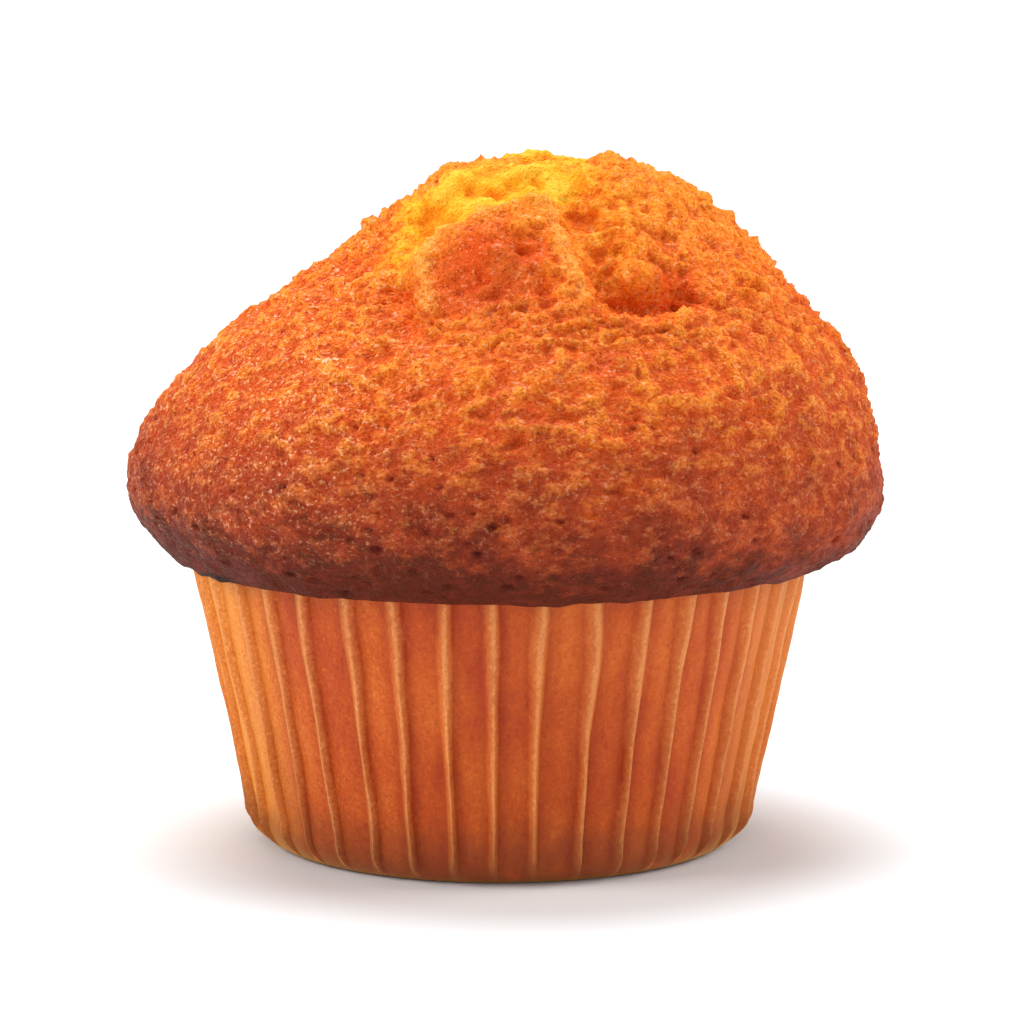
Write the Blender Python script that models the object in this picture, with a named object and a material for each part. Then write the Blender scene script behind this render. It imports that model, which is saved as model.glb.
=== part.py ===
"""Corn muffin in a fluted paper case: the baked cake is one solid and the case is another.

Metres, +Z up. The origin is the centre of the case's flat base, on the surface that the muffin stands on,
and the side that faces -Y is the front. The cake's crown has burst open: a crack runs up the left of a
crusty front plate, over its top and down its right, and the crumb shows behind it.
"""

import math

import bmesh
import bpy
from mathutils import Vector, noise

MM = 0.001

# Driving dimensions of the paper case, a standard baking cup of about 50 x 32 mm.
BASE_RADIUS = 24.6 * MM
CORNER_RISE = 4.5 * MM
CASE_HEIGHT = 31.2 * MM
CREST_RADIUS_AT_FOOT = 28.1 * MM
WALL_SLOPE = 0.192
WALL_FLARE = 0.5
PAPER = 0.5 * MM

# The flutes: narrow ridges that stand out between broad panels.
FLUTES = 39
RIDGE_HEIGHT = 0.95 * MM
RIDGE_HALF_WIDTH = 0.9 * MM
PANEL_BULGE = 0.15 * MM
FIRST_FLUTE_TURN = math.radians(-1.6)
FLUTE_WANDER = math.radians(1.6)

# Driving dimensions of the cake.
GAP = 0.4 * MM
SHELF_HEIGHT = CASE_HEIGHT + 0.35 * MM
CAKE_SEGMENTS = 84
DOME_ROWS = 44
UNDERSIDE_ROWS = 5

# The dome's outline from the crown to the underside of the overhang, as (radius, height).
DOME_OUTLINE = [
    (0.0, 75.5),
    (9.0, 74.9),
    (14.3, 72.8),
    (19.8, 68.6),
    (27.5, 61.8),
    (35.0, 55.3),
    (40.2, 47.6),
    (41.9, 40.2),
    (40.3, 35.7),
    (37.4, 33.0),
    (35.6, 31.9),
]

# The crown sits off the axis, to the right, so the left slope is the longer one.
RIM_LEAN = 0.6 * MM
CROWN_LEAN = 5.8 * MM
LEAN_FROM, LEAN_TO = 42.0 * MM, 70.0 * MM

# The rim hangs a little lower on the right than on the left: a slope that fades out up the dome.
RIM_TILT = 0.017
TILT_FROM, TILT_TO = 36.0 * MM, 60.0 * MM

# The crack's route round the front plate, seen from above, as (x, y).
CRACK_ROUTE = [
    (-13.5, -23.0),
    (-10.5, -19.5),
    (-7.5, -16.8),
    (-3.0, -14.6),
    (2.2, -13.8),
    (6.7, -14.0),
    (9.4, -17.6),
    (10.4, -22.0),
    (12.4, -25.6),
    (16.5, -25.6),
    (21.0, -23.4),
]
CRACK_DEPTH = 2.8 * MM
CRACK_HALF_WIDTH = 3.0 * MM

# Swellings of the crust as (x, y, spread along x, spread along y, height). A negative height is a hollow.
SWELLINGS = [
    (0.5, -20.5, 7.5, 5.2, 2.3),
    (13.8, -4.5, 5.5, 7.5, 1.9),
    (-3.0, -5.5, 9.0, 4.5, -1.1),
    (-6.5, 3.0, 8.0, 7.0, 0.9),
    (18.3, -19.8, 2.0, 2.2, -2.3),
    (9.2, -12.0, 2.6, 2.6, -1.7),
    (-12.8, -14.5, 3.0, 2.4, -1.3),
    (26.0, -14.0, 6.0, 7.0, 0.4),
    (24.0, -2.0, 5.0, 6.0, 0.6),
    (34.0, 0.0, 6.0, 9.0, -0.7),
    (7.0, 15.0, 10.0, 7.0, 1.2),
    (-12.0, 12.0, 7.0, 6.0, 0.9),
]

# Cracks of the unseen far side, plainer than the front one.
BACK_CRACK_ROUTE = [(-9.0, 4.0), (-4.5, 9.0), (1.0, 8.0), (5.0, 3.5), (12.0, 5.0), (18.0, 9.5)]
BACK_CRACK_DEPTH = 1.9 * MM

# Relief of the crust: wide swells and small crags.
SWELL_SIZE, SWELL_HEIGHT = 16.0 * MM, 0.9 * MM
CRAG_SIZE, CRAG_HEIGHT = 4.6 * MM, 0.62 * MM

# A drip of crust that hangs from the rim on the right.
DRIP_ANGLE = math.radians(1.0)
DRIP_RADIUS = 37.6 * MM
DRIP_HEIGHT = 31.6 * MM
DRIP_SPREAD = 1.7 * MM
DRIP_DROP = 1.3 * MM

CRUST_COLOUR = (0.62, 0.22, 0.05, 1.0)
PAPER_COLOUR = (0.66, 0.27, 0.08, 1.0)


def smooth_step(low, high, value):
    """0 below low, 1 above high, and a smooth rise between them."""
    share = min(1.0, max(0.0, (value - low) / (high - low)))
    return share * share * (3.0 - 2.0 * share)


def curve_through(points, count):
    """count points, evenly spaced in parameter, on a Catmull-Rom curve through the given ones."""
    padded = [points[0], *points, points[-1]]
    spans = len(points) - 1
    found = []
    for step in range(count):
        place = spans * step / (count - 1)
        span = min(int(place), spans - 1)
        t = place - span
        a, b, c, d = (Vector(p) for p in padded[span : span + 4])
        found.append(
            0.5 * (2 * b + (c - a) * t + (2 * a - 5 * b + 4 * c - d) * t**2 + (3 * b - a - 3 * c + d) * t**3)
        )
    return found


def crest_radius(height):
    """Outer radius of the case's ridges on the wall, which flares gently."""
    return CREST_RADIUS_AT_FOOT + WALL_SLOPE * height + WALL_FLARE * height**2


def panel_radius(height):
    """Outer radius of the case's panels: a quarter ellipse at the foot, then the wall."""
    wall = crest_radius(max(height, CORNER_RISE)) - RIDGE_HEIGHT
    if height >= CORNER_RISE:
        return wall
    drop = (CORNER_RISE - height) / CORNER_RISE
    return BASE_RADIUS + (wall - BASE_RADIUS) * math.sqrt(1.0 - drop**2)


def ridge_share(height):
    """How much of the full ridge stands out at this height: none at the flat base."""
    return smooth_step(0.0, 0.5 * CORNER_RISE, height)


def flute_angles():
    """The direction of each ridge, a little unevenly spaced, as folded paper is."""
    pitch = math.tau / FLUTES
    return [
        FIRST_FLUTE_TURN + pitch * k + FLUTE_WANDER * noise.noise(Vector((k * 1.7, 0.3, 0.0)))
        for k in range(FLUTES)
    ]


def case_ring(height, inset, level):
    """One closed ring of the case's wall at a height: foot, crest, foot and panel middle for each flute."""
    ring = []
    angles = flute_angles()
    radius = panel_radius(height) - inset
    half_turn = RIDGE_HALF_WIDTH / radius
    crest = RIDGE_HEIGHT * ridge_share(height)
    bulge = PANEL_BULGE * ridge_share(height)
    for k, angle in enumerate(angles):
        following = angles[(k + 1) % FLUTES] + (math.tau if k == FLUTES - 1 else 0.0)
        middle = (angle + following) / 2
        for turn, out in ((angle - half_turn, 0), (angle, crest), (angle + half_turn, 0), (middle, bulge)):
            reach = radius + out
            ring.append(Vector((reach * math.sin(turn), -reach * math.cos(turn), level)))
    return ring


def make_paper_case():
    """A thin fluted cup: outer rings from the base up, then inner rings back down."""
    corner = [CORNER_RISE * (1 - math.cos(math.radians(a))) for a in (0, 38, 66, 90)]
    wall = [CORNER_RISE + (CASE_HEIGHT - CORNER_RISE) * share for share in (0.3, 0.65, 1.0)]
    heights = corner + wall
    rings = [case_ring(h, 0.0, h) for h in heights]
    rings += [case_ring(h, PAPER, max(h, PAPER)) for h in reversed(heights[1:])]
    rings.append(case_ring(heights[0], PAPER, PAPER))

    bm = bmesh.new()
    rows = [[bm.verts.new(p) for p in ring] for ring in rings]
    for lower, upper in zip(rows, rows[1:]):
        count = len(lower)
        for i in range(count):
            j = (i + 1) % count
            bm.faces.new((lower[i], lower[j], upper[j], upper[i]))
    for row, level in ((rows[0], 0.0), (rows[-1], PAPER)):
        centre = bm.verts.new((0.0, 0.0, level))
        for i in range(len(row)):
            bm.faces.new((row[i], row[(i + 1) % len(row)], centre))
    bmesh.ops.recalc_face_normals(bm, faces=bm.faces)
    return finish_object("paper_case", bm, make_material("greaseproof_paper", PAPER_COLOUR, 0.6))


def distance_to_route(x, y, route):
    """Distance in plan from a point to a route of straight stretches, and how far along the route it is."""
    point = Vector((x, y))
    best, along = 1.0, 0.0
    for k, (start, end) in enumerate(zip(route, route[1:])):
        a, b = Vector(start) * MM, Vector(end) * MM
        run = b - a
        share = min(1.0, max(0.0, (point - a).dot(run) / run.length_squared))
        gap = (point - a - run * share).length
        if gap < best:
            best, along = gap, (k + share) / (len(route) - 1)
    return best, along


def crack_relief(x, y, route, depth, half_width):
    """A groove along a route, deepest in its middle and closing at both ends, with slightly raised lips."""
    wander = noise.noise_vector(Vector((x, y, 0.0)) / (5.0 * MM)) * 0.9 * MM
    gap, along = distance_to_route(x + wander.x, y + wander.y, route)
    opening = math.sin(math.pi * min(1.0, max(0.0, 0.08 + 0.84 * along))) ** 0.6
    groove = 1.0 - smooth_step(0.0, half_width * (0.5 + 0.5 * opening), gap)
    lip = math.exp(-(((gap - 1.35 * half_width) / (0.5 * half_width)) ** 2))
    return opening * (0.14 * depth * lip - depth * groove)


def crown_relief(x, y):
    """Height that the swellings and cracks add to the dome, seen from above."""
    relief = crack_relief(x, y, CRACK_ROUTE, CRACK_DEPTH, CRACK_HALF_WIDTH)
    relief += crack_relief(x, y, BACK_CRACK_ROUTE, BACK_CRACK_DEPTH, 0.8 * CRACK_HALF_WIDTH)
    for cx, cy, spread_x, spread_y, height in SWELLINGS:
        reach = ((x / MM - cx) / spread_x) ** 2 + ((y / MM - cy) / spread_y) ** 2
        relief += height * MM * math.exp(-reach)
    return relief


def crust_relief(point):
    """Uneven swells and small crags all over the crust, rougher towards the crown."""
    swell = noise.noise(point / SWELL_SIZE + Vector((3.1, 0.0, 7.7)))
    crag = noise.noise(point / CRAG_SIZE) + 0.5 * noise.noise(point / (0.45 * CRAG_SIZE))
    rough = 0.45 + 0.75 * smooth_step(45.0 * MM, 68.0 * MM, point.z)
    return SWELL_HEIGHT * swell + CRAG_HEIGHT * rough * crag


def cake_profile():
    """The cake's outline from the crown's top, round the overhang, in under it and down to the flat bottom."""
    dome = [p * MM for p in curve_through(DOME_OUTLINE, DOME_ROWS + UNDERSIDE_ROWS)]
    inside = [SHELF_HEIGHT, 22.0 * MM, 12.0 * MM, CORNER_RISE, 0.5 * CORNER_RISE, 0.2 * CORNER_RISE]
    profile = [(p.x, p.y) for p in dome]
    for height in inside:
        profile.append((panel_radius(min(height, CASE_HEIGHT)) - PAPER - GAP, height))
    bottom = PAPER + GAP
    profile[-1] = (BASE_RADIUS - PAPER - GAP, bottom)
    profile.append((0.0, bottom))
    return profile


def make_cake():
    """The baked cake: a turned body whose dome is then pushed off centre, cracked and roughened."""
    bm = bmesh.new()
    verts = [bm.verts.new((radius, 0.0, height)) for radius, height in cake_profile()]
    edges = [bm.edges.new(pair) for pair in zip(verts, verts[1:])]
    bmesh.ops.spin(
        bm,
        geom=verts + edges,
        cent=(0, 0, 0),
        axis=(0, 0, 1),
        angle=math.tau,
        steps=CAKE_SEGMENTS,
        use_merge=True,
    )
    bmesh.ops.remove_doubles(bm, verts=bm.verts, dist=0.01 * MM)
    bmesh.ops.recalc_face_normals(bm, faces=bm.faces)
    bm.normal_update()

    drip = Vector((DRIP_RADIUS * math.cos(DRIP_ANGLE), DRIP_RADIUS * math.sin(DRIP_ANGLE), DRIP_HEIGHT))
    moved = {}
    for vert in bm.verts:
        co = vert.co
        if co.z < SHELF_HEIGHT + 0.01 * MM:
            continue
        free = smooth_step(SHELF_HEIGHT, SHELF_HEIGHT + 4.0 * MM, co.z)
        lean = RIM_LEAN * free + (CROWN_LEAN - RIM_LEAN) * smooth_step(LEAN_FROM, LEAN_TO, co.z)
        out = co + Vector((lean, 0.0, 0.0))
        crown = smooth_step(52.0 * MM, 60.0 * MM, co.z) * crown_relief(out.x, out.y)
        out += vert.normal * free * (crown + crust_relief(out))
        hang = math.exp(-((co - drip).length_squared) / DRIP_SPREAD**2)
        out.z -= DRIP_DROP * hang
        out.z -= RIM_TILT * free * out.x * (1.0 - smooth_step(TILT_FROM, TILT_TO, co.z))
        moved[vert] = out
    for vert, place in moved.items():
        vert.co = place
    return finish_object("muffin_cake", bm, make_material("baked_crust", CRUST_COLOUR, 0.75))


def make_material(name, colour, roughness):
    """A plain non-metallic finish."""
    material = bpy.data.materials.new(name)
    material.use_nodes = True
    shader = material.node_tree.nodes["Principled BSDF"]
    shader.inputs["Base Color"].default_value = colour
    shader.inputs["Roughness"].default_value = roughness
    shader.inputs["Metallic"].default_value = 0.0
    return material


def finish_object(name, bm, material):
    """Links the mesh to the scene as one named object, shaded smooth."""
    mesh = bpy.data.meshes.new(name)
    bm.to_mesh(mesh)
    bm.free()
    mesh.materials.append(material)
    mesh.shade_smooth()
    mesh.set_sharp_from_angle(angle=math.radians(50))
    made = bpy.data.objects.new(name, mesh)
    bpy.context.scene.collection.objects.link(made)
    return made


for old in list(bpy.data.objects):
    bpy.data.objects.remove(old)

make_paper_case()
make_cake()
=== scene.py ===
"""The looks of the corn muffin: its fluted paper case, its burst and browned cake, and a white stage."""

import math

import bpy
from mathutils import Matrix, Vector, noise


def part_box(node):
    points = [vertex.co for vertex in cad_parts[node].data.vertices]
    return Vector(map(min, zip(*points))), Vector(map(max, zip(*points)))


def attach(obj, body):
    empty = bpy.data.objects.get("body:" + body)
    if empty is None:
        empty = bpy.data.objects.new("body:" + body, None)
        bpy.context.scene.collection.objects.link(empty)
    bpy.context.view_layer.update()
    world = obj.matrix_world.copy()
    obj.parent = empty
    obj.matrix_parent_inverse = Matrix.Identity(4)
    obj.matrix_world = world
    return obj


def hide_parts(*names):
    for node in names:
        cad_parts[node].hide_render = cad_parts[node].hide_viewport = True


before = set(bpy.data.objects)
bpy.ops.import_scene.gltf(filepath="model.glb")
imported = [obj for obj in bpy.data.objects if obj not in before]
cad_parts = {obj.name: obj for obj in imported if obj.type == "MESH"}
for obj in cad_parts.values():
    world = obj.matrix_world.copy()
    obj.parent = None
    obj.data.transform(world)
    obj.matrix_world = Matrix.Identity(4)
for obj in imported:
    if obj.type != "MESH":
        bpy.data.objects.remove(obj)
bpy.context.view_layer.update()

# Paper case
# A baking cup of thin greaseproof paper, pressed into narrow flutes round a flat base. The batter rose
# against it in the oven, so its broad panels are soaked and clear, and its ridges stand free and pale.
MM = 0.001
BASE_RADIUS = 24.6 * MM
CORNER_RISE = 4.5 * MM
CASE_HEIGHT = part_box("paper_case")[1].z
CREST_RADIUS_AT_FOOT = 28.1 * MM
WALL_SLOPE = 0.192
WALL_FLARE = 0.5
# The top edge of the paper is tucked up into the overhang.
TUCK = 0.55 * MM
PAPER = 0.14 * MM
FLUTES = 39
RIDGE_HEIGHT = 0.95 * MM
RIDGE_HALF_WIDTH = 0.62 * MM
RIDGE_WIDENS = 0.5 * MM
RIDGE_UNEVEN = 0.2 * MM
RIDGE_SIDE_POINTS = 3
RIDGE_SKEW = 0.33
PANEL_SWELL = 0.15 * MM
PANEL_POINTS = 7
CORNER_ROWS = 12
WALL_ROWS = 46
FIRST_FLUTE_TURN = math.radians(-1.6)
FLUTE_WANDER = math.radians(1.6)
# Fine crinkles of the paper: their size, how far they are drawn out upright, and their depth.
CRINKLES = ((3.1 * MM, 0.45, 0.13 * MM), (1.1 * MM, 0.6, 0.05 * MM))
# The flat base is made of rings, each this much smaller than the one before.
BASE_RING_SHRINKS = (0.97, 0.9, 0.6)


def smooth_step(low, high, value):
    """0 below low, 1 above high, and a smooth rise between them."""
    share = min(1.0, max(0.0, (value - low) / (high - low)))
    return share * share * (3.0 - 2.0 * share)


def panel_radius(height):
    """Outer radius of the case's panels: a quarter ellipse at the foot, then a wall that flares gently."""
    level = max(height, CORNER_RISE)
    wall = CREST_RADIUS_AT_FOOT + WALL_SLOPE * level + WALL_FLARE * level**2 - RIDGE_HEIGHT
    drop = max(0.0, CORNER_RISE - height) / CORNER_RISE
    return BASE_RADIUS + (wall - BASE_RADIUS) * math.sqrt(1.0 - drop**2)


def flute_turn(flute):
    """The direction of a ridge, a little unevenly spaced, as folded paper is."""
    turn = FIRST_FLUTE_TURN + math.tau / FLUTES * flute
    return turn + FLUTE_WANDER * noise.noise(Vector((flute % FLUTES * 1.7, 0.3, 0.0)))


def paper_place(column, height):
    """Where a point of the case lies, how far up a ridge it is, and how far into the fold beside one."""
    flute, step = divmod(column + RIDGE_SIDE_POINTS, 2 * RIDGE_SIDE_POINTS + 1 + PANEL_POINTS)
    step -= RIDGE_SIDE_POINTS
    own = Vector((flute % FLUTES * 3.7, height / (9.0 * MM), 0.0))
    following = Vector(((flute + 1) % FLUTES * 3.7, height / (9.0 * MM), 0.0))
    radius = panel_radius(height)
    stand = smooth_step(0.0, 0.75 * CORNER_RISE, height)
    half_turns = []
    turns = []
    for number, seed in ((flute, own), (flute + 1, following)):
        width = RIDGE_HALF_WIDTH + RIDGE_WIDENS * smooth_step(11.0 * MM, 30.0 * MM, height)
        width += RIDGE_UNEVEN * noise.noise(seed)
        half_turns.append(width / radius)
        turns.append(flute_turn(number) + math.radians(0.75) * noise.noise(seed + Vector((0.0, 0.6, 5.0))))
    if step <= RIDGE_SIDE_POINTS:
        across = step / RIDGE_SIDE_POINTS
        side = (across - RIDGE_SKEW) / (1.0 - RIDGE_SKEW if across > RIDGE_SKEW else 1.0 + RIDGE_SKEW)
        ridge = (1.0 - abs(side) ** 1.8) ** 1.4
        turn = turns[0] + across * half_turns[0]
        panel = 0.0
        fold = smooth_step(0.5, 1.0, abs(across))
    else:
        share = (step - RIDGE_SIDE_POINTS) / (PANEL_POINTS + 1)
        start = turns[0] + half_turns[0]
        turn = start + share * (turns[1] - half_turns[1] - start)
        ridge = 0.0
        panel = math.sin(math.pi * share)
        fold = max(1.0 - smooth_step(0.0, 0.45, share), 0.6 - 0.6 * smooth_step(0.0, 0.3, 1.0 - share))
    height_share = 0.86 + 0.3 * noise.noise(own + Vector((9.0, 0.0, 2.0)))
    reach = radius + stand * (RIDGE_HEIGHT * height_share * ridge + PANEL_SWELL * panel)
    place = Vector((reach * math.sin(turn), -reach * math.cos(turn), height))
    crinkle = 0.0
    for size, upright, depth in CRINKLES:
        crinkle += noise.noise(Vector((place.x, place.y, upright * place.z)) / size) * depth
    place += Vector((place.x, place.y, 0.0)).normalized() * crinkle * stand
    return place, ridge * stand, fold * stand


bpy.ops.object.select_all(action="DESELECT")
points_round = FLUTES * (2 * RIDGE_SIDE_POINTS + 1 + PANEL_POINTS)
bpy.ops.mesh.primitive_cylinder_add(
    vertices=points_round, radius=BASE_RADIUS, depth=1.0, end_fill_type="NOTHING", location=(0.0, 0.0, 0.5)
)
paper_case = bpy.context.object
paper_case.name = "paper_case_fluted"
bpy.ops.object.transform_apply(location=True, rotation=True, scale=True)
bpy.ops.object.mode_set(mode="EDIT")
bpy.ops.mesh.select_mode(type="EDGE")
bpy.ops.mesh.select_all(action="DESELECT")
bpy.ops.object.mode_set(mode="OBJECT")
for edge in paper_case.data.edges:
    ends = [paper_case.data.vertices[i].co for i in edge.vertices]
    edge.select = abs(ends[0].z - ends[1].z) > 0.5
bpy.ops.object.mode_set(mode="EDIT")
bpy.ops.mesh.subdivide(number_cuts=CORNER_ROWS + WALL_ROWS - 1)
bpy.ops.object.mode_set(mode="OBJECT")


def keep_values(piece, values_by_name):
    """Stores one value for each point of a piece, under the names that its material reads."""
    for name, values in values_by_name.items():
        attribute = piece.data.attributes.new(name, "FLOAT", "POINT")
        attribute.data.foreach_set("value", values)


ridge_shares = []
fold_shares = []
for vertex in paper_case.data.vertices:
    row = round(vertex.co.z * (CORNER_ROWS + WALL_ROWS))
    if row <= CORNER_ROWS:
        height = CORNER_RISE * (1.0 - math.cos(math.pi / 2 * row / CORNER_ROWS))
    else:
        height = CORNER_RISE + (CASE_HEIGHT + TUCK - CORNER_RISE) * (row - CORNER_ROWS) / WALL_ROWS
    turn = math.atan2(vertex.co.x, -vertex.co.y) % math.tau
    column = round(turn / math.tau * points_round) % points_round
    vertex.co, ridge_share, fold_share = paper_place(column, height)
    vertex.select = row == 0
    ridge_shares.append(ridge_share)
    fold_shares.append(fold_share)
for edge in paper_case.data.edges:
    edge.select = all(paper_case.data.vertices[i].select for i in edge.vertices)
keep_values(paper_case, {"ridge": ridge_shares, "fold": fold_shares})
bpy.ops.object.mode_set(mode="EDIT")
for shrink in BASE_RING_SHRINKS:
    bpy.ops.mesh.extrude_region()
    bpy.ops.transform.resize(value=(shrink, shrink, 1.0), center_override=(0.0, 0.0, 0.0))
bpy.ops.mesh.merge(type="CENTER")
bpy.ops.mesh.select_all(action="SELECT")
bpy.ops.mesh.normals_make_consistent(inside=False)
bpy.ops.object.mode_set(mode="OBJECT")
sheet = paper_case.modifiers.new("sheet", "SOLIDIFY")
sheet.thickness = PAPER
sheet.offset = -1.0
bpy.ops.object.modifier_apply(modifier="sheet")
bpy.ops.object.shade_smooth_by_angle(angle=math.radians(60))


class Wire:
    """A socket of a shader tree. Sums and products of wires add Math nodes, so a formula reads as one."""

    def __init__(self, tree, socket=None):
        self.tree = tree
        self.socket = socket

    def add(self, kind, settings, values, output=0):
        """Adds a node: its settings first, then the number or the wire of each named socket."""
        node = self.tree.nodes.new(kind)
        for name, setting in settings.items():
            if name == "stops":
                ramp = node.color_ramp
                while len(ramp.elements) < len(setting):
                    ramp.elements.new(1.0)
                for element, (place, colour) in zip(ramp.elements, setting):
                    element.position = place
                    element.color = (*colour, 1.0)
            else:
                setattr(node, name, setting)
        for name, value in values.items():
            if isinstance(value, Wire):
                self.tree.links.new(value.socket, node.inputs[name])
            else:
                node.inputs[name].default_value = value
        return Wire(self.tree, node.outputs[output])

    def __add__(self, other):
        return self.add("ShaderNodeMath", {"operation": "ADD"}, {0: self, 1: other})

    def __mul__(self, other):
        return self.add("ShaderNodeMath", {"operation": "MULTIPLY"}, {0: self, 1: other})

    def __sub__(self, other):
        return self.add("ShaderNodeMath", {"operation": "SUBTRACT"}, {0: self, 1: other})

    def __rsub__(self, other):
        return self.add("ShaderNodeMath", {"operation": "SUBTRACT"}, {0: other, 1: self})

    __radd__ = __add__
    __rmul__ = __mul__

    def step(self, low, high):
        """A smooth rise from 0 to 1 as this value goes from low to high."""
        settings = {"interpolation_type": "SMOOTHSTEP"}
        return self.add("ShaderNodeMapRange", settings, {"Value": self, "From Min": low, "From Max": high})

    def toward(self, colour, share):
        """This colour mixed towards another by a share."""
        settings = {"data_type": "RGBA"}
        other = colour if isinstance(colour, Wire) else (*colour, 1.0)
        return self.add("ShaderNodeMix", settings, {0: share, 6: self, 7: other}, output=2)

    def between(self, low, high):
        """A colour that goes from low to high as this value goes from 0 to 1."""
        ends = {6: (*low, 1.0), 7: (*high, 1.0)}
        return self.add("ShaderNodeMix", {"data_type": "RGBA"}, {0: self, **ends}, output=2)

    def axis(self, name):
        """One axis of this place."""
        return self.add("ShaderNodeSeparateXYZ", {}, {0: self}, name)

    def tinted(self, factors, share):
        """This colour with its channels multiplied, by a share."""
        product = self.add("ShaderNodeVectorMath", {"operation": "MULTIPLY"}, {0: self, 1: factors})
        return self.toward(product, share)

    def clouds(self, size, detail, roughness):
        """Cloudy noise of a size in metres, read at this place."""
        values = {"Vector": self, "Scale": 1.0 / size, "Detail": detail, "Roughness": roughness}
        return self.add("ShaderNodeTexNoise", {}, values)

    def beads(self, size, detail):
        """Rounded lumps packed side by side, size apart: 1 on top of each and 0 between them."""
        values = {"Vector": self, "Scale": 1.0 / size, "Detail": detail, "Roughness": 0.6}
        gap = self.add("ShaderNodeTexVoronoi", {"normalize": True}, values)
        return 1.0 - (gap * 1.35).clipped()

    def clipped(self):
        """This value held between 0 and 1."""
        return self.add("ShaderNodeClamp", {}, {"Value": self})

    def cells(self, size):
        """Distance to the nearest of scattered points, size apart."""
        return self.add("ShaderNodeTexVoronoi", {}, {"Vector": self, "Scale": 1.0 / size})

    def squeeze(self, x, y, z):
        """This place with each axis scaled, so that what is read there is stretched."""
        return self.add("ShaderNodeVectorMath", {"operation": "MULTIPLY"}, {0: self, 1: (x, y, z)})


def start_material(piece, name):
    """A new material on a piece: its shader node and a wire that stands for its tree."""
    material = bpy.data.materials.new(name)
    material.use_nodes = True
    piece.data.materials.clear()
    piece.data.materials.append(material)
    return material.node_tree.nodes["Principled BSDF"], Wire(material.node_tree)


def plug(wire, shader, name):
    """Links a wire to an input of a shader."""
    wire.tree.links.new(wire.socket, shader.inputs[name])


PANEL_COLOUR = (0.50, 0.078, 0.008)
DEEP_PANEL_COLOUR = (0.40, 0.044, 0.007)
PALE_PANEL_COLOUR = (0.60, 0.125, 0.016)
BACKLIT_GLOW_COLOUR = (0.84, 0.290, 0.032)
RIDGE_COLOUR = (0.60, 0.165, 0.038)
CREST_HIGHLIGHT_COLOUR = (0.68, 0.240, 0.068)
STAIN_COLOUR = (0.15, 0.035, 0.014)
SPECK_COLOUR = (0.16, 0.035, 0.012)

shader, tree = start_material(paper_case, "greaseproof_paper")
place = tree.add("ShaderNodeTexCoord", {}, {}, "Object")
level = place.axis("Z")
ridge = tree.add("ShaderNodeAttribute", {"attribute_name": "ridge"}, {}, "Fac")
fold = tree.add("ShaderNodeAttribute", {"attribute_name": "fold"}, {}, "Fac")
# Soaked panels, unevenly deep in colour.
soak = place.squeeze(1.0, 1.0, 0.4).clouds(6.0 * MM, 4.0, 0.6)
fibre = place.squeeze(1.0, 1.0, 0.7).clouds(0.55 * MM, 3.0, 0.6)
fine = place.clouds(0.22 * MM, 2.0, 0.6)
base = tree.add(
    "ShaderNodeValToRGB",
    {"stops": [(0.30, DEEP_PANEL_COLOUR), (0.52, PANEL_COLOUR), (0.74, PALE_PANEL_COLOUR)]},
    {"Fac": soak + 0.35 * (fibre - 0.5) + 0.15 * (fine - 0.5)},
)
# Paler amber paper on both flanks, more on the left: painted glow of light shining through the thin paper.
inset = 0.16 * level
backlit_glow = (0.0 - place.axis("X") - inset).step(17.0 * MM, 28.0 * MM)
backlit_glow = backlit_glow + 0.6 * (place.axis("X") - inset).step(18.0 * MM, 31.0 * MM)
base = base.toward(BACKLIT_GLOW_COLOUR, 0.85 * backlit_glow)
# Painted shade in the folds beside each ridge, deeper on one side of it.
base = base.tinted((0.80, 0.66, 0.60), 0.8 * fold)
# Pale ridges, where the paper stands free, with a painted highlight along the crease on top.
ridge_and_crest = ridge + 0.5 * (fibre - 0.5) + 0.4 * (soak - 0.5)
base = base.toward(RIDGE_COLOUR, 0.55 * ridge_and_crest.step(0.1, 0.75))
base = base.toward(CREST_HIGHLIGHT_COLOUR, 0.75 * ridge_and_crest.step(0.72, 1.0))
# Grain of the paper.
grit = place.clouds(0.38 * MM, 3.0, 0.75)
grainy = 0.6 + 0.4 * (0.0 - place.axis("X")).step(0.0, 22.0 * MM)
base = base.tinted((1.2, 1.6, 2.6), grainy * grit.step(0.54, 0.68))
base = base.tinted((0.80, 0.62, 0.56), grainy * (1.0 - grit.step(0.34, 0.47)))
# Stains of fat round the foot, and a few dark specks.
damp = place.squeeze(1.0, 1.0, 0.6).clouds(4.5 * MM, 3.0, 0.55)
low = 1.0 - (level + 5.0 * MM * (damp - 0.5)).step(1.0 * MM, 12.0 * MM)
stain = (damp + 0.3 * low).step(0.55, 0.78) * low
base = base.toward(STAIN_COLOUR, 0.5 * stain + 0.08 * low)
spot = place.cells(1.5 * MM)
specks = (1.0 - (spot + 0.2 * fine).step(0.14, 0.22)) * 0.5
base = base.toward(SPECK_COLOUR, specks)
plug(base, shader, "Base Color")
rough = 0.42 + 0.22 * fibre
plug(rough, shader, "Roughness")
bump = tree.add(
    "ShaderNodeBump",
    {},
    {"Strength": 0.5, "Distance": 0.12 * MM, "Height": fibre + 0.5 * fine},
)
plug(bump, shader, "Normal")
shader.inputs["Specular IOR Level"].default_value = 0.18
shader.inputs["Sheen Weight"].default_value = 0.6
shader.inputs["Sheen Roughness"].default_value = 0.35
shader.inputs["Sheen Tint"].default_value = (1.0, 0.56, 0.10, 1.0)

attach(paper_case, "root")
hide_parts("paper_case")

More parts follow.
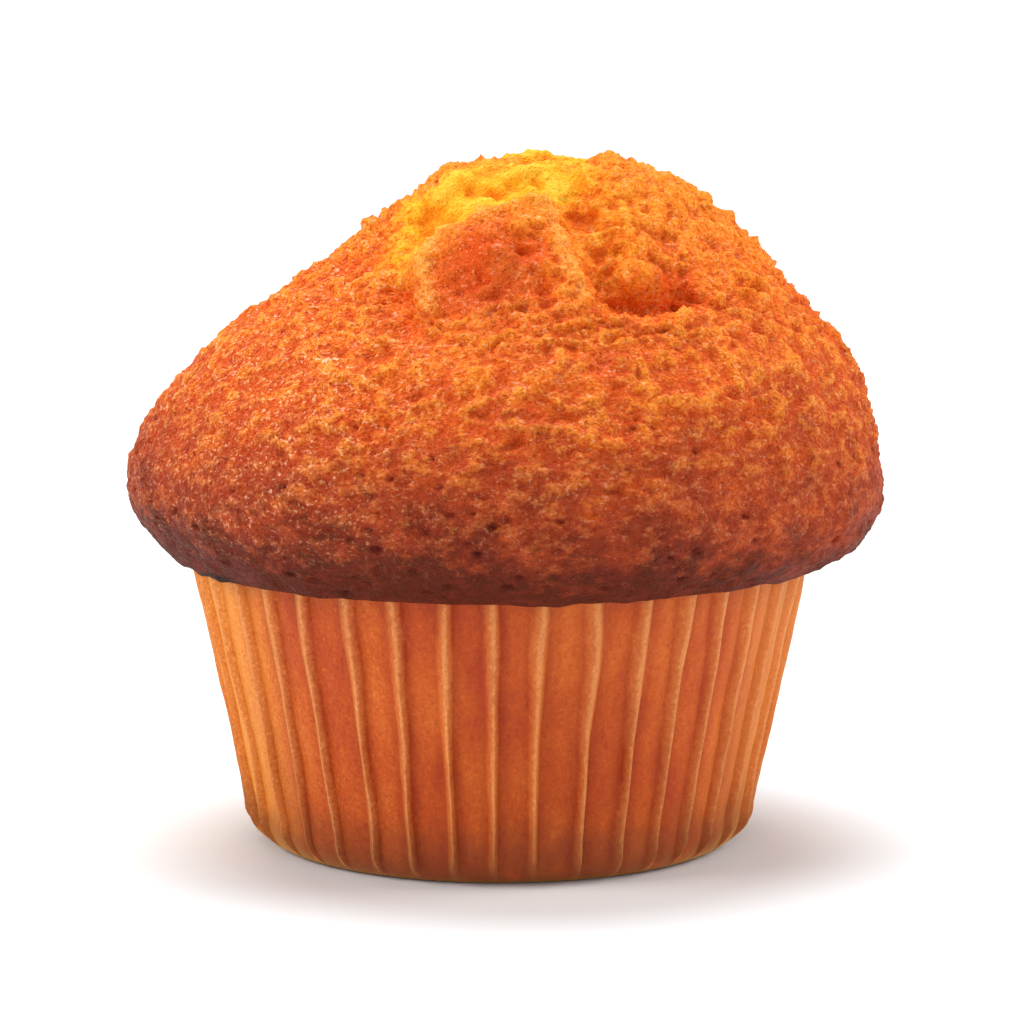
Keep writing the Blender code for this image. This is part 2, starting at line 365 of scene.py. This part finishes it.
# Cake
# One piece of baked corn batter. It fills the case, spreads over its edge in an overhang and rises to a
# crown that burst open in the oven, so that yellow crumb shows between plates of browned crust.
DOME_OUTLINE = [
    (0.0, 75.5),
    (9.0, 74.9),
    (14.3, 72.8),
    (19.8, 68.6),
    (27.5, 61.8),
    (35.0, 55.3),
    (40.2, 47.6),
    (41.9, 40.2),
    (40.3, 35.7),
    (37.4, 33.0),
    (35.6, 31.9),
]
SHELF_HEIGHT = CASE_HEIGHT + 0.35 * MM
CAKE_CUTS = 97
HIDDEN_DENSITY = 0.05
RIM_LEAN = 0.6 * MM
CROWN_LEAN = 5.8 * MM
LEAN_FROM = 42.0 * MM
LEAN_TO = 70.0 * MM
SWELL_SIZE = 16.0 * MM
SWELL_HEIGHT = 0.9 * MM
CRAG_SIZE = 4.6 * MM
CRAG_HEIGHT = 0.62 * MM
# The crumbly hills of the crust, and the pores low on it.
HILL_SIZE = 2.3 * MM
PORE_SPACING = 2.9 * MM
PORE_DEPTH = 0.6
CRUST_SEED = 1

# The burst's course: (x, y, z, half width, depth, how much fresh crumb shows), all lengths in mm.
BURST = [
    (-9.2, -27.6, 59.0, 0.4, 0.3, 0.0),
    (-10.6, -24.0, 61.4, 0.9, 1.8, 0.0),
    (-11.3, -19.6, 64.2, 1.0, 2.0, 0.1),
    (-10.0, -15.8, 67.6, 1.6, 1.8, 0.55),
    (-6.4, -13.0, 70.6, 3.0, 1.7, 0.95),
    (-1.0, -11.6, 73.0, 3.4, 1.6, 1.0),
    (4.4, -11.8, 73.6, 3.0, 1.6, 1.0),
    (8.4, -14.2, 72.2, 2.1, 1.6, 0.3),
    (9.6, -18.4, 69.2, 1.7, 1.7, 0.3),
    (10.6, -22.4, 65.8, 1.8, 2.6, 0.2),
    (12.4, -24.9, 62.9, 2.0, 2.9, 0.1),
    (15.6, -24.6, 62.2, 2.0, 2.6, 0.0),
    (18.8, -22.8, 62.8, 1.4, 1.8, 0.0),
    (21.8, -21.2, 62.4, 0.5, 0.6, 0.0),
]
# The crack of the unseen far side.
BACK_CRACK = [
    (-9.0, 4.0, 73.5, 0.5, 0.4, 0.3),
    (-4.5, 9.0, 72.5, 1.6, 1.8, 0.8),
    (1.0, 8.6, 73.6, 2.2, 2.1, 0.9),
    (6.5, 5.0, 75.0, 1.8, 1.9, 0.9),
    (12.0, 5.6, 74.6, 1.6, 1.8, 0.7),
    (18.0, 9.5, 70.6, 0.5, 0.5, 0.2),
]
# Bulges of the crust plates and hollows between them: (x, y, z, reach, height) in mm.
BULGES = [
    (0.2, -21.0, 66.8, 6.8, 3.1),
    (-8.6, -19.0, 66.4, 2.0, 0.6),
    (-5.0, -17.4, 69.4, 2.2, 0.7),
    (-0.5, -16.4, 71.2, 2.4, 0.8),
    (4.0, -16.8, 71.4, 2.2, 0.7),
    (7.2, -18.8, 69.8, 2.0, 0.6),
    (-2.5, -22.5, 67.4, 2.9, -1.5),
    (3.2, -22.5, 67.0, 2.6, -1.2),
    (-6.6, -24.0, 64.2, 2.0, -0.9),
    (-4.7, -21.8, 66.3, 1.5, -1.0),
    (-2.0, -24.0, 64.1, 1.7, -1.1),
    (2.2, -21.8, 66.3, 1.6, -1.1),
    (4.9, -24.6, 63.6, 1.7, -0.9),
    (0.1, -22.6, 65.6, 1.5, 0.9),
    (-3.6, -19.0, 68.4, 1.6, 0.6),
    (15.5, -8.0, 73.4, 6.6, 2.2),
    (-5.0, -4.0, 74.8, 4.6, 1.2),
    (19.3, -21.2, 64.4, 2.3, -2.2),
    (9.3, -15.6, 71.4, 2.2, -1.0),
    (-13.4, -12.8, 66.3, 2.6, -1.6),
    (-16.6, -9.2, 65.2, 2.3, -1.2),
    (26.0, -16.0, 61.5, 7.0, 0.4),
    (24.0, -2.0, 68.0, 6.0, 0.1),
    (-27.0, -1.0, 59.0, 6.0, 0.8),
    (-1.5, -3.0, 75.8, 3.2, 1.0),
    (33.0, 0.0, 57.0, 9.0, -0.6),
    (7.0, 15.0, 71.0, 9.0, 1.2),
    (-12.0, 12.0, 69.0, 7.0, 0.9),
]
# Spurs of crumb that stand up along the crown: (x, y, z, reach, height) in mm.
SPURS = [
    (1.6, -2.0, 76.2, 1.4, 1.3),
    (-5.6, -2.5, 75.2, 1.8, 0.9),
    (11.0, -3.0, 75.6, 1.9, 1.5),
    (13.6, -3.0, 75.0, 1.5, 0.9),
    (-14.2, -4.0, 69.0, 1.2, 1.3),
    (-11.6, -4.0, 70.6, 1.2, 0.8),
    (1.8, -16.6, 72.2, 1.0, 0.4),
]
# No crack runs below this level.
CRACK_FLOOR = 56.0 * MM
# The knob is the plate of crust that stands proud in front of the burst. Its face gets painted shade.
KNOB = Vector((0.5, -22.5, 65.5)) * MM
KNOB_REACH = 8.2 * MM
KNOB_FACE = Vector((-1.0, -23.5, 65.0)) * MM
KNOB_FACE_REACH = 6.2 * MM
# The rim hangs a little lower on the right. The tilt fades out further up.
RIM_TILT = 0.017
TILT_FROM = 36.0 * MM
TILT_TO = 60.0 * MM
# The hem is the uneven lower edge of the overhang, with one drip of batter on the right.
HEM_RADIUS = 35.6 * MM
HEM_DROP = 0.55 * MM
DRIP = Vector((37.6, 0.7, 31.6)) * MM
DRIP_SPREAD = 1.7 * MM
DRIP_DROP = 1.3 * MM
# A near-black crescent painted under the left of the rim.
DARK_CRESCENT = Vector((-30.3, -22.0, 32.0)) * MM
DARK_CRESCENT_WIDTH = 2.4 * MM
DARK_CRESCENT_HEIGHT = 0.9 * MM


def cake_outline():
    """The cake's outline from the crown round the overhang and down into the case, as (radius, height)."""
    rows = 12
    padded = [DOME_OUTLINE[0], *DOME_OUTLINE, DOME_OUTLINE[-1]]
    outline = []
    for span in range(len(DOME_OUTLINE) - 1):
        a, b, c, d = (Vector(p) * MM for p in padded[span : span + 4])
        for row in range(rows):
            t = row / rows
            curve = 2 * b + (c - a) * t
            curve += (2 * a - 5 * b + 4 * c - d) * t**2 + (3 * b - a - 3 * c + d) * t**3
            outline.append(0.5 * curve)
    outline.append(Vector(DOME_OUTLINE[-1]) * MM)
    exposed = len(outline)
    fit = 2 * PAPER
    hidden = (SHELF_HEIGHT, 0.8 * CASE_HEIGHT, 0.5 * CASE_HEIGHT, 0.2 * CASE_HEIGHT, 0.5 * CORNER_RISE)
    for height in hidden:
        outline.append(Vector((panel_radius(min(height, CASE_HEIGHT)) - fit, height)))
    outline.append(Vector((BASE_RADIUS - fit, fit)))
    outline.append(Vector((0.0, fit)))
    return outline, exposed


def outline_shares(outline, exposed):
    """How much of the mesh lies above each outline point: by area, and thinner where the case hides it."""
    shares = [0.0]
    for number, (upper, lower) in enumerate(zip(outline, outline[1:])):
        area = (upper - lower).length * (upper.x + lower.x)
        shares.append(shares[-1] + area * (1.0 if number < exposed else HIDDEN_DENSITY))
    return [share / shares[-1] for share in shares]


bpy.ops.object.select_all(action="DESELECT")
bpy.ops.mesh.primitive_ico_sphere_add(subdivisions=1, radius=1.0, location=(0.0, 0.0, 0.0))
cake = bpy.context.object
cake.name = "muffin_cake_baked"
bpy.ops.object.mode_set(mode="EDIT")
bpy.ops.mesh.select_all(action="SELECT")
bpy.ops.mesh.subdivide(number_cuts=CAKE_CUTS)
bpy.ops.object.mode_set(mode="OBJECT")

outline, exposed = cake_outline()
shares = outline_shares(outline, exposed)
for vertex in cake.data.vertices:
    way = vertex.co.normalized()
    share = (1.0 - way.z) / 2.0
    low, high = 0, len(shares) - 1
    while high - low > 1:
        middle = (low + high) // 2
        if shares[middle] <= share:
            low = middle
        else:
            high = middle
    part = (share - shares[low]) / (shares[high] - shares[low])
    ring = outline[low].lerp(outline[high], min(1.0, part))
    flat = Vector((way.x, way.y, 0.0))
    flat = flat.normalized() if flat.length > 1e-6 else Vector((1.0, 0.0, 0.0))
    vertex.co = flat * ring.x + Vector((0.0, 0.0, ring.y))


def lean(height):
    """How far the cake at a height leans to the right of the case's axis."""
    free = smooth_step(SHELF_HEIGHT, SHELF_HEIGHT + 4.0 * MM, height)
    return RIM_LEAN * free + (CROWN_LEAN - RIM_LEAN) * smooth_step(LEAN_FROM, LEAN_TO, height)


def nearest_on(point, course):
    """Distance from a point to a crack's course, and the half width, depth and crumb share there."""
    best = 1.0
    found = (0.0, 0.0, 0.0)
    for start, end in zip(course, course[1:]):
        a = Vector(start[:3]) * MM
        run = Vector(end[:3]) * MM - a
        share = min(1.0, max(0.0, (point - a).dot(run) / run.length_squared))
        gap = (point - a - run * share).length
        if gap < best:
            best = gap
            found = tuple(p + (q - p) * share for p, q in zip(start[3:], end[3:]))
    return best, *found


def split_crust(point):
    """The lift of the crust round the cracks, how open it is, how much fresh crumb shows, and its lips."""
    wander = noise.noise_vector(point / (4.2 * MM)) * 0.9 * MM
    wander += noise.noise_vector(point / (1.6 * MM)) * 0.35 * MM
    lift = 0.0
    opening = 0.0
    crumb = 0.0
    lips = 0.0
    for course in (BURST, BACK_CRACK):
        gap, half_width, depth, fresh = nearest_on(point + wander, course)
        gap /= MM
        if gap > half_width + 9.0:
            continue
        inside = 1.0 - smooth_step(0.2 * half_width, half_width + 1.8, gap)
        lip = math.exp(-(((gap - half_width - 1.9) / 1.2) ** 2))
        lift += (0.2 * lip - inside) * depth * MM
        opening = max(opening, inside)
        near_knob = 1.0 - smooth_step(1.1 * KNOB_REACH, 1.3 * KNOB_REACH, (point - KNOB).length)
        lips = max(lips, lip * near_knob * smooth_step(0.4, 1.6, depth))
        reach = 1.4 + 6.6 * smooth_step(0.75 * KNOB_REACH, 1.25 * KNOB_REACH, (point - KNOB).length)
        crumb = max(crumb, fresh * (1.0 - smooth_step(half_width - 0.4, half_width + reach, gap)))
    return lift, opening, crumb, lips


def broad_relief(point):
    """Swells and crags of the crust, with its bulges and hollows, and how deep in a hollow a point is."""
    swell = noise.noise(point / SWELL_SIZE + Vector((3.1, 0.0, 7.7)))
    crag = noise.noise(point / CRAG_SIZE) + 0.5 * noise.noise(point / (0.45 * CRAG_SIZE))
    rough = 0.45 + 0.75 * smooth_step(45.0 * MM, 68.0 * MM, point.z)
    lift = SWELL_HEIGHT * swell + CRAG_HEIGHT * rough * crag
    dip = 0.0
    for x, y, z, reach, height in BULGES + SPURS:
        gap = (point / MM - Vector((x, y, z))).length / reach
        if gap < 2.6:
            lift += height * MM * math.exp(-(gap**2))
            dip = max(dip, -height * math.exp(-(gap**2)))
    return lift, dip


def fine_relief(point, crumb):
    """Crumbly hills and pores: the lift, how raised the crust is, and how deep in a pore."""
    level = point.z / MM
    flat = 1.0 + 0.45 * (1.0 - smooth_step(54.0, 66.0, level))
    rough = 0.25 + 0.35 * smooth_step(35.0, 50.0, level) + 0.35 * smooth_step(52.0, 66.0, level)
    rough *= 1.0 - 0.35 * smooth_step(8.0 * MM, 30.0 * MM, -point.x)
    rough *= 1.0 - 0.55 * crumb
    # Hills of the crust, with crumbs that stand on them.
    spread = Vector((point.x, point.y, point.z * flat))
    warped = spread / HILL_SIZE
    warped += noise.noise_vector(warped * 0.7) * 0.5
    hills = noise.noise(warped) + 0.75 * noise.noise(warped * 2.1 + Vector((4.0, 1.0, 2.0)))
    hills += 0.35 * noise.noise(warped * 4.5)
    crumbs = abs(noise.noise(spread / (1.5 * MM))) + 0.7 * abs(noise.noise(spread / (0.8 * MM)))
    small = noise.noise(point / (0.6 * MM))
    lift = 0.9 * rough * hills
    lift += rough * (0.2 + 0.4 * smooth_step(-0.25, 0.45, hills)) * (crumbs - 0.42) + 0.15 * rough * small
    # Soft clumps where fresh crumb shows.
    clumps = 1.1 * noise.noise(point / (3.4 * MM)) + 0.6 * noise.noise(point / (1.4 * MM))
    lift += crumb * clumps
    raised = smooth_step(-0.85, 0.85, (1.0 - crumb) * (hills + 0.4 * (crumbs - 0.42)) + crumb * clumps)
    # Pores, the small holes that bubbles left low on the crust.
    squat = Vector((point.x, point.y, 1.4 * point.z)) / PORE_SPACING
    near, places = noise.voronoi(squat + Vector((7.0, 3.0, 1.0)))
    reach = 0.11 + 0.2 * abs(noise.noise(places[0] * 3.0))
    pore = math.exp(-((near[0] / reach) ** 3)) * (1.0 - 0.75 * smooth_step(46.0, 58.0, level))
    lift -= PORE_DEPTH * pore * (1.0 - crumb)
    return lift * MM, raised, pore


# Noise vectors, which bend the cracks and the hills, come out the same each run only with a seed.
noise.seed_set(CRUST_SEED)
cake.data.update()
normals = [vertex.normal.copy() for vertex in cake.data.vertices]
crumbs = []
openings = []
lips = []
dips = []
for vertex, normal in zip(cake.data.vertices, normals):
    point = vertex.co.copy()
    free = smooth_step(SHELF_HEIGHT, SHELF_HEIGHT + 4.0 * MM, point.z)
    hang = math.exp(-((point - DRIP).length_squared) / DRIP_SPREAD**2) if free > 0.0 else 0.0
    point.x += lean(point.z)
    lift, opening, crumb, lip = split_crust(point) if point.z > CRACK_FLOOR else (0.0, 0.0, 0.0, 0.0)
    broad, dip = broad_relief(point)
    vertex.co = point + normal * free * (lift + broad)
    tilt = RIM_TILT * (1.0 - smooth_step(TILT_FROM, TILT_TO, point.z))
    vertex.co.z -= DRIP_DROP * hang + free * tilt * point.x
    hem = smooth_step(HEM_RADIUS, HEM_RADIUS + 1.0 * MM, vertex.co.xy.length)
    hem *= 1.0 - smooth_step(SHELF_HEIGHT + 1.0 * MM, SHELF_HEIGHT + 4.0 * MM, point.z)
    scallop = 0.4 + noise.noise(point / (5.5 * MM)) + 0.5 * noise.noise(point / (2.0 * MM))
    vertex.co.z -= hem * HEM_DROP * scallop
    dips.append(dip)
    crumbs.append(crumb)
    openings.append(opening)
    lips.append(lip)

cake.data.update()
normals = [vertex.normal.copy() for vertex in cake.data.vertices]
raised_shares = []
pores = []
dark_crescents = []
knob_shades = []
for vertex, normal, crumb, lip in zip(cake.data.vertices, normals, crumbs, lips):
    point = vertex.co.copy()
    free = smooth_step(SHELF_HEIGHT, SHELF_HEIGHT + 1.5 * MM, point.z)
    lift, raised, pore = fine_relief(point, crumb) if free > 0.0 else (0.0, 0.5, 0.0)
    vertex.co = point + normal * free * lift
    raised_shares.append(min(1.0, raised + 0.25 * lip))
    pores.append(pore)
    knob_shades.append(math.exp(-((point - KNOB_FACE).length_squared) / KNOB_FACE_REACH**2))
    away = point - DARK_CRESCENT
    off = (away.x / DARK_CRESCENT_WIDTH) ** 2 + (away.z / DARK_CRESCENT_HEIGHT) ** 2
    dark_crescents.append(math.exp(-off) * (point.y < 0.0))

crust_values = {
    "crumb": crumbs,
    "opening": openings,
    "raised": raised_shares,
    "dip": dips,
    "lip": lips,
    "pore": pores,
    "scorch": dark_crescents,
    "face": knob_shades,
}
keep_values(cake, crust_values)
bpy.ops.object.mode_set(mode="EDIT")
bpy.ops.mesh.select_all(action="SELECT")
bpy.ops.mesh.normals_make_consistent(inside=False)
bpy.ops.object.mode_set(mode="OBJECT")
bpy.ops.object.shade_smooth()

RIM_COLOUR = (0.100, 0.014, 0.004)
LOW_COLOUR = (0.34, 0.042, 0.009)
MID_COLOUR = (0.57, 0.080, 0.007)
SLOPE_COLOUR = (0.79, 0.145, 0.007)
CROWN_COLOUR = (0.92, 0.235, 0.010)
CRUMB_COLOUR = (0.96, 0.42, 0.010)
PALE_CRUMB_COLOUR = (0.98, 0.58, 0.040)
DEEP_CRUMB_COLOUR = (0.94, 0.26, 0.006)
LIP_COLOUR = (0.96, 0.33, 0.045)
GOLD_COLOUR = (0.90, 0.295, 0.020)
LOW_GOLD_COLOUR = (0.66, 0.150, 0.040)
RED_COLOUR = (0.60, 0.062, 0.005)
LOW_RED_COLOUR = (0.20, 0.022, 0.010)
GLINT_COLOUR = (1.0, 0.52, 0.27)
KNOB_SHADE_COLOUR = (0.60, 0.072, 0.007)
HOLLOW_SHADE_COLOUR = (0.76, 0.085, 0.004)
DARK_CRESCENT_COLOUR = (0.030, 0.009, 0.004)
BROWN_LEVEL = 30.0 * MM
PALE_LEVEL = 78.0 * MM

shader, tree = start_material(cake, "baked_crust")
place = tree.add("ShaderNodeTexCoord", {}, {}, "Object")
level = place.axis("Z")
facts = {
    name: tree.add("ShaderNodeAttribute", {"attribute_name": name}, {}, "Fac") for name in crust_values
}
# Noises from the broadest to the finest.
drift = place.clouds(13.0 * MM, 2.0, 0.55)
blotch = place.squeeze(1.0, 1.0, 1.3).clouds(4.2 * MM, 3.0, 0.6)
patch = place.squeeze(1.0, 1.0, 1.4).clouds(1.4 * MM, 3.0, 0.65)
bead = place.squeeze(1.0, 1.0, 1.2).beads(1.0 * MM, 1.0)
fleck = place.squeeze(1.0, 1.0, 1.25).clouds(0.5 * MM, 2.0, 0.7)
dust = place.clouds(0.26 * MM, 2.0, 0.6)
# Darker at the rim and golden at the crown: partly browning, partly painted shade low down and painted
# light on top, a little lighter low on the right, with a broken edge between the tones.
raised = facts["raised"]
upper = (level + 8.0 * MM * (drift - 0.5)).step(35.0 * MM, 55.0 * MM)
left = (0.0 - place.axis("X")).step(2.0 * MM, 26.0 * MM)
right = place.axis("X").step(4.0 * MM, 26.0 * MM)
browning_and_shade = level + 12.0 * MM * (drift - 0.5) + 20.0 * MM * (blotch - 0.5) + 12.0 * MM * (patch - 0.5)
browning_and_shade = browning_and_shade + 3.5 * MM * right * (1.0 - upper)
span = {"From Min": BROWN_LEVEL, "From Max": PALE_LEVEL}
share = tree.add("ShaderNodeMapRange", {}, {"Value": browning_and_shade, **span})
base = tree.add(
    "ShaderNodeValToRGB",
    {
        "stops": [
            (0.12, RIM_COLOUR),
            (0.27, LOW_COLOUR),
            (0.45, MID_COLOUR),
            (0.68, SLOPE_COLOUR),
            (0.92, CROWN_COLOUR),
        ]
    },
    {"Fac": share},
)
# Golden tops and redder low places of the crust: partly its own tone, partly painted light on the tops
# and painted shade in the low places.
humps = raised + 1.5 * (patch - 0.5) + 0.9 * (fleck - 0.5)
gold = upper.between(LOW_GOLD_COLOUR, GOLD_COLOUR)
red = upper.between(LOW_RED_COLOUR, RED_COLOUR)
above_rim = (level + 8.0 * MM * (patch - 0.5)).step(34.0 * MM, 41.0 * MM)
base = base.toward(gold, humps.step(0.38, 1.15) * above_rim * (0.22 + 0.30 * upper))
base = base.toward(red, (1.0 - humps.step(0.02, 0.58)) * (0.42 + 0.12 * upper))
# Painted shade on the knob's face.
base = base.toward(KNOB_SHADE_COLOUR, 0.8 * (facts["face"] + 0.9 * (patch - 0.5)).step(0.12, 0.75))
# Painted shade, a deep red-orange, in the hollows between the plates and in the open cracks of the crust.
hollow = (facts["dip"] + 0.8 * (patch - 0.5)).step(0.15, 1.0)
base = base.toward(HOLLOW_SHADE_COLOUR, 0.75 * hollow)
base = base.toward(HOLLOW_SHADE_COLOUR, 0.7 * facts["opening"] * (1.0 - facts["crumb"]))
# Fresh crumb in the burst, paler where it stands up and deeper orange low down: partly its own tone,
# partly painted highlight and painted shade. And the pale lips of the crust beside it.
plate = raised + 0.8 * (patch - 0.5) + 0.5 * (fleck - 0.5)
crumb_tone = plate.step(0.05, 0.60).between(DEEP_CRUMB_COLOUR, CRUMB_COLOUR)
crumb_tone = crumb_tone.toward(PALE_CRUMB_COLOUR, 0.7 * plate.step(0.50, 0.95))
base = base.toward(crumb_tone, 0.95 * (facts["crumb"] * (1.0 + 2.0 * (patch - 0.5))).step(0.05, 0.80))
# The pale lips are partly paler crust, partly painted light along the top edge of the knob.
base = base.toward(LIP_COLOUR, 0.55 * (facts["lip"] + 1.2 * (patch - 0.5)).step(0.2, 1.0))
# Fine crisp grain: light and dark flecks, partly the grain's own tone, partly painted highlight and shade,
# stronger on the left and upper crust where the light falls; and painted glints of sugar and fat.
mottle = fleck + 0.35 * (bead - 0.5) + 0.5 * (dust - 0.5)
crisp = (0.72 + 0.48 * left) * (1.0 - 0.7 * facts["crumb"])
bright = mottle.step(0.52, 0.68) * (0.45 + 0.55 * upper) * (1.0 - 0.6 * hollow)
base = base.tinted((1.22, 1.65, 3.4), 0.8 * bright * crisp)
dark = 1.0 - mottle.step(0.34, 0.49)
base = base.tinted((0.80, 0.48, 0.36), dark * crisp * (0.5 + 0.5 * upper))
# Painted glints, with real gloss from the coat at the same places.
spark = place.squeeze(1.0, 1.0, 1.25).clouds(0.42 * MM, 1.0, 0.5).step(0.56, 0.68)
spark = spark * patch.step(0.38, 0.60)
spark = spark * (0.35 * above_rim + 0.65 * upper) * (0.40 + 0.60 * left) * (1.0 - facts["crumb"])
base = base.toward(GLINT_COLOUR, 0.75 * spark)
# Painted shade in the pores.
base = base.tinted((0.50, 0.20, 0.30), 0.9 * facts["pore"] * (1.0 - facts["crumb"]))
# The near-black crescent under the left of the rim.
base = base.toward(DARK_CRESCENT_COLOUR, facts["scorch"].step(0.2, 0.55))
plug(base, shader, "Base Color")
rough = 0.72 - 0.3 * bright
plug(rough, shader, "Roughness")
coat = (0.02 + 0.6 * spark) * (1.0 - facts["scorch"])
plug(coat, shader, "Coat Weight")
shader.inputs["Coat Roughness"].default_value = 0.25
bump = tree.add(
    "ShaderNodeBump",
    {},
    {"Strength": 1.0, "Distance": 0.55 * MM, "Height": 0.5 * bead + fleck + 0.2 * dust},
)
plug(bump, shader, "Normal")
shader.inputs["Specular IOR Level"].default_value = 0.1

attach(cake, "root")
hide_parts("muffin_cake")

# Stage
# A plain white floor in a white room, with soft lamps round the muffin. The camera stands in front of it,
# a little above, as in a product picture.
FLOOR_SIZE = 4.0
bpy.ops.object.select_all(action="DESELECT")
bpy.ops.mesh.primitive_plane_add(size=FLOOR_SIZE, location=(0.0, 0.0, 0.0))
floor = bpy.context.object
floor.name = "floor"
shader, tree = start_material(floor, "floor")
shader.inputs["Base Color"].default_value = (0.83, 0.88, 0.90, 1.0)
shader.inputs["Roughness"].default_value = 0.9
shader.inputs["Specular IOR Level"].default_value = 0.1


def add_lamp(name, place, aim, width, height, power, colour):
    """A soft, flat lamp at a place, turned to an aim, that the camera doesn't see."""
    data = bpy.data.lights.new(name, "AREA")
    data.shape = "RECTANGLE"
    data.size = width
    data.size_y = height
    data.energy = power
    data.color = colour
    lamp = bpy.data.objects.new(name, data)
    bpy.context.scene.collection.objects.link(lamp)
    lamp.location = place
    lamp.rotation_mode = "QUATERNION"
    lamp.rotation_quaternion = (Vector(aim) - Vector(place)).to_track_quat("-Z", "Y")
    lamp.visible_camera = False


MUFFIN_MIDDLE = (0.0, 0.0, 0.045)
add_lamp("lamp_left", (-0.58, -0.20, 0.40), MUFFIN_MIDDLE, 0.36, 0.36, 2.8, (1.0, 0.97, 0.93))
add_lamp("lamp_right", (0.58, 0.02, 0.36), MUFFIN_MIDDLE, 0.36, 0.36, 2.3, (1.0, 0.97, 0.93))
add_lamp("lamp_front", (0.10, -0.80, 0.30), MUFFIN_MIDDLE, 0.6, 0.4, 1.1, (1.0, 0.99, 0.98))

ceiling_data = bpy.data.lights.new("lamp_ceiling", "SUN")
ceiling_data.energy = 2.9
ceiling_data.angle = math.radians(42.0)
ceiling = bpy.data.objects.new("lamp_ceiling", ceiling_data)
bpy.context.scene.collection.objects.link(ceiling)
ceiling.rotation_euler = (math.radians(-14.0), math.radians(-3.0), 0.0)

# The room's soft light, and the extra light that makes the backdrop white where the camera sees it.
ROOM_LIGHT = 0.37
BACKDROP_LIGHT = 0.69
world = bpy.data.worlds.new("white_room")
bpy.context.scene.world = world
world.use_nodes = True
room = world.node_tree.nodes["Background"]
room.inputs["Color"].default_value = (1.0, 1.0, 1.0, 1.0)
sky = Wire(world.node_tree)
seen = sky.add("ShaderNodeLightPath", {}, {}, "Is Camera Ray")
plug(ROOM_LIGHT + BACKDROP_LIGHT * seen, room, "Strength")
bpy.context.scene.view_settings.view_transform = "Standard"

CAMERA_PLACE = Vector((1.3, -450.0, 100.0)) * MM
CAMERA_AIM = Vector((1.3, 0.0, 36.6)) * MM
camera_data = bpy.data.cameras.new("camera")
camera_data.sensor_width = 36.0
camera_data.lens = 142.7
camera = bpy.data.objects.new("camera", camera_data)
bpy.context.scene.collection.objects.link(camera)
camera.location = CAMERA_PLACE
camera.rotation_mode = "QUATERNION"
camera.rotation_quaternion = (CAMERA_AIM - CAMERA_PLACE).to_track_quat("-Z", "Y")
camera_data.clip_start = 0.01
camera_data.clip_end = 20.0
bpy.context.scene.camera = camera
